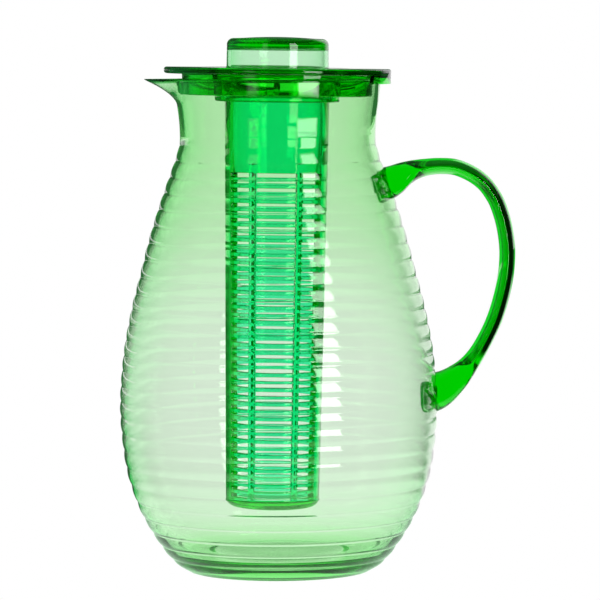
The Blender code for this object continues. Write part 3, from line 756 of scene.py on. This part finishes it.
# What mirrors in the plastic, on its faces or inside it: light from behind, a weaker side light and roof that the
# handle's bar pipes forward, two soft boxes, darkness at the handle's side, and for the rest dim tinted light
MIRRORED_AROUND, MIRRORED_LOW_AROUND = (8.0, 42.0), (-8.0, 42.0)
# Under the pitcher the floor is painted pale green in what mirrors: painted light, as if lit through the plastic.
MIRRORED_DIM, PAINTED_GREEN_LIGHT_UNDER = (0.045, 0.16, 0.06), (0.68, 1.0, 0.72)
LEVEL_AROUND, LEVEL_UP = (-50.0, -5.0), (-0.8, 0.6)  # a light bar level with the knob
MIRRORED_DARK, DARK_AROUND = (0.002, 0.01, 0.002), (50.0, 255.0)
SIDE_LIGHT, SIDE_AROUND = (0.06, 0.6, 0.14), (-80.0, -36.0)
MIRRORED_ROOF = (0.04, 0.12, 0.05)
BOX_LIGHT, BOX_AROUND = 5.0, (134.0, 152.0)
WEAK_BOX_LIGHT, WEAK_BOX_AROUND = 0.6, (203.0, 214.0)
BOX_UP, BOX_ON_FLOOR = (-14.0, 32.0), (134.0, 157.0)


class Nodes:
    """Short names for building a node tree."""

    def __init__(self, tree):
        self.nodes, self.links = tree.nodes, tree.links
        self.nodes.clear()

    def math(self, op, a, b=None, c=None):
        node = self.nodes.new("ShaderNodeMath")
        node.operation = op
        for socket, value in zip(node.inputs, (a, b, c)):
            if value is None:
                continue
            if isinstance(value, (int, float)):
                socket.default_value = value
            else:
                self.links.new(value, socket)
        return node.outputs[0]

    def ramp(self, value, low, high):
        """0 below low, 1 above high, smooth between."""
        node = self.nodes.new("ShaderNodeMapRange")
        node.interpolation_type = "SMOOTHSTEP"
        self.links.new(value, node.inputs["Value"])
        node.inputs["From Min"].default_value = low
        node.inputs["From Max"].default_value = high
        return node.outputs["Result"]

    def band(self, value, low, high, soft, soft_high=None):
        """1 where value lies between low and high, with soft edges."""
        soft_high = soft if soft_high is None else soft_high
        up = self.ramp(value, low - soft, low + soft)
        down = self.ramp(value, high - soft_high, high + soft_high)
        return self.math("MULTIPLY", up, self.math("SUBTRACT", 1.0, down))

    def around(self, x, y):
        """Degrees from +Y towards +X, from -110 to 250."""
        angle = self.math("MULTIPLY", self.math("ARCTAN2", x, y), 180 / math.pi)
        return self.math("ADD", angle, self.math("MULTIPLY", self.math("LESS_THAN", angle, -110.0), 360.0))

    def mix(self, factor, a, b):
        """a at factor 0 and b at 1. Each is a number, a colour or a socket."""
        node = self.nodes.new("ShaderNodeMix")
        node.data_type = "RGBA"
        if isinstance(factor, (int, float)):
            node.inputs["Factor"].default_value = factor
        else:
            self.links.new(factor, node.inputs["Factor"])
        for socket, value in zip((s for s in node.inputs if s.type == "RGBA"), (a, b)):
            if isinstance(value, (int, float)):
                socket.default_value = (value, value, value, 1.0)
            elif isinstance(value, tuple):
                socket.default_value = (*value, 1.0)
            else:
                self.links.new(value, socket)
        return next(s for s in node.outputs if s.type == "RGBA")

    def plus(self, a, b):
        node = self.nodes.new("ShaderNodeVectorMath")
        node.operation = "ADD"
        self.links.new(a, node.inputs[0])
        self.links.new(b, node.inputs[1])
        return node.outputs[0]

    def mirrored(self, azimuth, lit_around, box_around, panels_up, boxes_up):
        """What mirrors in the plastic; panels_up and boxes_up are how much there is of them at this height."""
        boxes = self.math(
            "ADD",
            self.math("MULTIPLY", self.band(azimuth, *box_around, 1.0), BOX_LIGHT),
            self.math("MULTIPLY", self.band(azimuth, *WEAK_BOX_AROUND, 3.0), WEAK_BOX_LIGHT),
        )
        behind = self.math("MULTIPLY", self.band(azimuth, *lit_around, 3.0, 8.0), panels_up)
        rest = self.mix(self.band(azimuth, *DARK_AROUND, 5.0), MIRRORED_DIM, MIRRORED_DARK)
        rest = self.mix(self.band(azimuth, *SIDE_AROUND, 14.0, 3.0), rest, SIDE_LIGHT)
        return self.plus(self.mix(behind, rest, 1.0), self.math("MULTIPLY", boxes, boxes_up))

    def glossy(self):
        """(1 for what the camera sees with nothing between, 1 for what mirrors in something)."""
        path = self.nodes.new("ShaderNodeLightPath")
        return path.outputs["Is Camera Ray"], self.math("MINIMUM", path.outputs["Glossy Depth"], 1.0)

    def panels(self, azimuth):
        total = 0.0
        for low, high, soft, soft_high in PANELS:
            total = self.math("ADD", self.band(azimuth, low, high, soft, soft_high), total)
        return total


def stage_floor():
    """A white floor. What mirrors in the plastic gets the room's light and dark there too, and painted pale green light
    under the pitcher.
    """
    obj = mesh_object("floor", [(-4, -4, -0.0002), (4, -4, -0.0002), (4, 4, -0.0002), (-4, 4, -0.0002)], [[0, 1, 2, 3]])
    mat = bpy.data.materials.new("pale_floor")
    mat.use_nodes = True
    n = Nodes(mat.node_tree)
    where = n.nodes.new("ShaderNodeNewGeometry")
    split = n.nodes.new("ShaderNodeSeparateXYZ")
    n.links.new(where.outputs["Position"], split.inputs["Vector"])
    x, y, _ = split.outputs
    far = n.math("SQRT", n.math("ADD", n.math("MULTIPLY", x, x), n.math("MULTIPLY", y, y)))
    azimuth = n.around(x, y)
    direct, glossy = n.glossy()
    near = n.math("SUBTRACT", 1.0, n.ramp(far, 0.9, 1.3))
    mirrored = n.mirrored(azimuth, MIRRORED_AROUND, BOX_ON_FLOOR, near, n.band(far, 1.03, 2.98, 0.05, 0.04))
    light = n.mix(glossy, 1.0, n.mix(n.ramp(far, 0.14, 0.24), PAINTED_GREEN_LIGHT_UNDER, mirrored))
    glow = n.nodes.new("ShaderNodeEmission")
    n.links.new(n.mix(direct, light, 1.0), glow.inputs["Color"])
    end = n.nodes.new("ShaderNodeOutputMaterial")
    n.links.new(glow.outputs["Emission"], end.inputs["Surface"])
    obj.data.materials.append(mat)


def studio_world():
    """The ring of panels, seen through the plastic, and one tall soft box that only shows as a reflection."""
    world = bpy.data.worlds.new("studio")
    scene.world = world
    world.use_nodes = True
    n = Nodes(world.node_tree)
    where = n.nodes.new("ShaderNodeTexCoord")
    split = n.nodes.new("ShaderNodeSeparateXYZ")
    n.links.new(where.outputs["Generated"], split.inputs["Vector"])
    x, y, z = split.outputs
    azimuth = n.around(x, y)
    elevation = n.math("MULTIPLY", n.math("ARCSINE", z), 180 / math.pi)

    low_enough = n.band(elevation, -95.0, PANEL_TOP, 8.0)
    level = n.math("MULTIPLY", n.band(azimuth, *LEVEL_AROUND, 3.0), n.band(elevation, *LEVEL_UP, 0.2))
    walls = n.mix(n.panels(azimuth), STRIP, 1.0)
    roof = n.mix(n.ramp(elevation, 50.0, 80.0), HIGH_LIGHT, ROOF_LIGHT)
    through = n.mix(low_enough, roof, walls)

    low = n.math("MULTIPLY", n.band(azimuth, *MIRRORED_LOW_AROUND, 3.0), n.band(elevation, -95.0, LEVEL_UP[1], 0.3))
    mirrored = n.mirrored(azimuth, MIRRORED_AROUND, BOX_AROUND, low_enough, n.band(elevation, *BOX_UP, 3.0))
    mirrored = n.mix(low, mirrored, 1.0)
    mirrored = n.plus(n.mix(level, mirrored, 1.0), n.mix(n.ramp(elevation, 50.0, 60.0), 0.0, MIRRORED_ROOF))

    direct, glossy = n.glossy()
    background = n.nodes.new("ShaderNodeBackground")
    n.links.new(n.mix(direct, n.mix(glossy, through, mirrored), 1.0), background.inputs["Color"])
    end = n.nodes.new("ShaderNodeOutputWorld")
    n.links.new(background.outputs["Background"], end.inputs["Surface"])


stage_floor()
studio_world()

# ---------------------------------------------------------------- camera
DISTANCE, EYE_Z, FOCAL_PX = 1.91, 0.261, 3915.0
eye = bpy.data.cameras.new("camera")
eye.sensor_width = 36.0
eye.lens = 36.0 * FOCAL_PX / 600.0
eye.clip_start, eye.clip_end = 0.05, 50.0
camera = bpy.data.objects.new("camera", eye)
scene.collection.objects.link(camera)
camera.location = (-0.00845, -DISTANCE, EYE_Z)
tip = Matrix.Rotation(math.radians(90.0) - math.atan(264.0 / FOCAL_PX), 3, "X")
roll = Matrix.Rotation(math.radians(-0.2), 3, "Z")
camera.rotation_euler = (tip @ roll).to_euler()
scene.camera = camera
